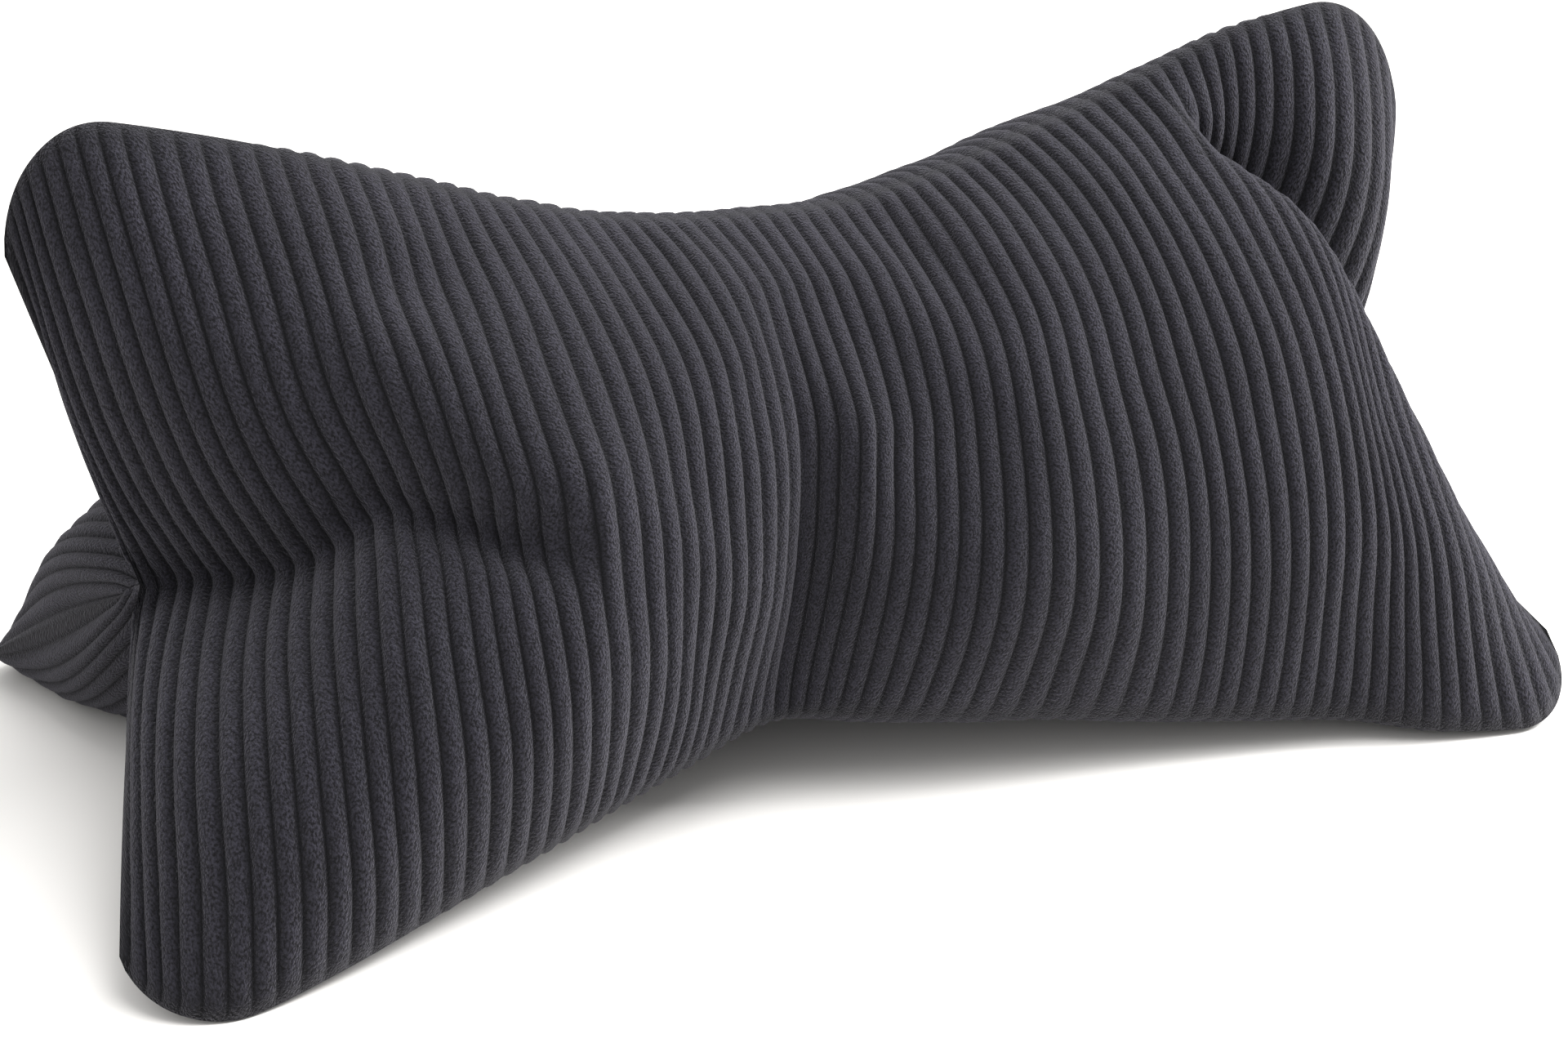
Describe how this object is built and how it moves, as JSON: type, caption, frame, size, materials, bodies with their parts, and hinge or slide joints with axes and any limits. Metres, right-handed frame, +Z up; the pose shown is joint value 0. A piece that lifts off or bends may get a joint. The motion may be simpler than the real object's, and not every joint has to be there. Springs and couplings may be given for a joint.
{
  "type": "bone-shaped neck pillow",
  "caption": "Stuffed bone-shaped neck and reading pillow with three rounded ears at each end, a narrow waist and broad corduroy ribs running around it.",
  "frame": {"origin": "on the resting surface, under the middle of the pillow's bounding box", "axes": "+X along the pillow towards the ears at the right of the front view, +Y from the front panel to the back, +Z up"},
  "size_m": [0.438, 0.2342, 0.1983],
  "materials": {
    "corduroy": "wide-wale cotton-blend corduroy, soft pile, charcoal"
  },
  "bodies": {
    "root": {"bone_pillow": "corduroy"}
  },
  "joints": []
}
